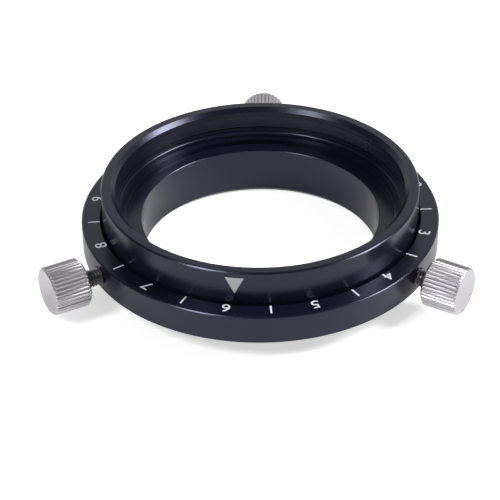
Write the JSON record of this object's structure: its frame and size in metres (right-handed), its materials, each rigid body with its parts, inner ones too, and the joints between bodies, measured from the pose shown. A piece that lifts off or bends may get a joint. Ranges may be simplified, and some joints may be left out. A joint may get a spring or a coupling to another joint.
{
  "type": "optical rotation mount",
  "caption": "Round rotation mount: a numbered base ring with a male thread carries a turning index ring with a female thread, locked by knurled radial thumbscrews.",
  "frame": {"origin": "on the optical axis, in the plane of the base ring's bottom shoulder", "axes": "+Z along the optical axis, out of the index ring; -Y faces the viewer who reads the index mark; the thumbscrews lie at 88.4, 208.4 and 328.4 degrees from +X"},
  "size_m": [0.0707, 0.0687, 0.0149],
  "materials": {
    "base_anodised": "semi-gloss black anodised",
    "index_anodised": "semi-gloss black anodised",
    "stainless_steel": "turned and straight-knurled stainless steel",
    "nylon": "natural nylon",
    "white_fill": "white paint in engraved marks"
  },
  "bodies": {
    "scale_ring": {"scale_ring": "base_anodised"},
    "index_ring": {"index_ring": "index_anodised"},
    "rear_clamp_pad": {"rear_clamp_pad": "nylon"},
    "rear_thumbscrew": {"rear_thumbscrew": "stainless_steel"},
    "left_clamp_pad": {"left_clamp_pad": "nylon"},
    "left_thumbscrew": {"left_thumbscrew": "stainless_steel"},
    "right_clamp_pad": {"right_clamp_pad": "nylon"},
    "right_thumbscrew": {"right_thumbscrew": "stainless_steel"}
  },
  "joints": [
    {"name": "index_ring_turn", "type": "hinge", "parent": "scale_ring", "child": "index_ring", "pos_m": [0, 0, 0.005], "axis": [0, 0, 1], "continuous": true},
    {"name": "rear_screw_advance", "type": "slide", "parent": "scale_ring", "child": "rear_clamp_pad", "axis": [0.0279, 0.9996, 0], "range_m": [-0.0004, 0.0011]},
    {"name": "rear_screw_turn", "type": "hinge", "parent": "rear_clamp_pad", "child": "rear_thumbscrew", "pos_m": [0.00084, 0.02999, 0.0021], "axis": [0.0279, 0.9996, 0], "range_deg": [-288, 792]},
    {"name": "left_screw_advance", "type": "slide", "parent": "scale_ring", "child": "left_clamp_pad", "axis": [-0.8796, -0.4756, 0], "range_m": [-0.0009, 0.0006]},
    {"name": "left_screw_turn", "type": "hinge", "parent": "left_clamp_pad", "child": "left_thumbscrew", "pos_m": [-0.02639, -0.01427, 0.0021], "axis": [-0.8796, -0.4756, 0], "range_deg": [-648, 432]},
    {"name": "right_screw_advance", "type": "slide", "parent": "scale_ring", "child": "right_clamp_pad", "axis": [0.8517, -0.524, 0], "range_m": [0, 0.0015]},
    {"name": "right_screw_turn", "type": "hinge", "parent": "right_clamp_pad", "child": "right_thumbscrew", "pos_m": [0.02555, -0.01572, 0.0021], "axis": [0.8517, -0.524, 0], "range_deg": [0, 1080]}
  ],
  "couplings": [
    {"joint": "rear_screw_turn", "follows": "rear_screw_advance", "rad_per_m": 12566},
    {"joint": "left_screw_turn", "follows": "left_screw_advance", "rad_per_m": 12566},
    {"joint": "right_screw_turn", "follows": "right_screw_advance", "rad_per_m": 12566}
  ]
}
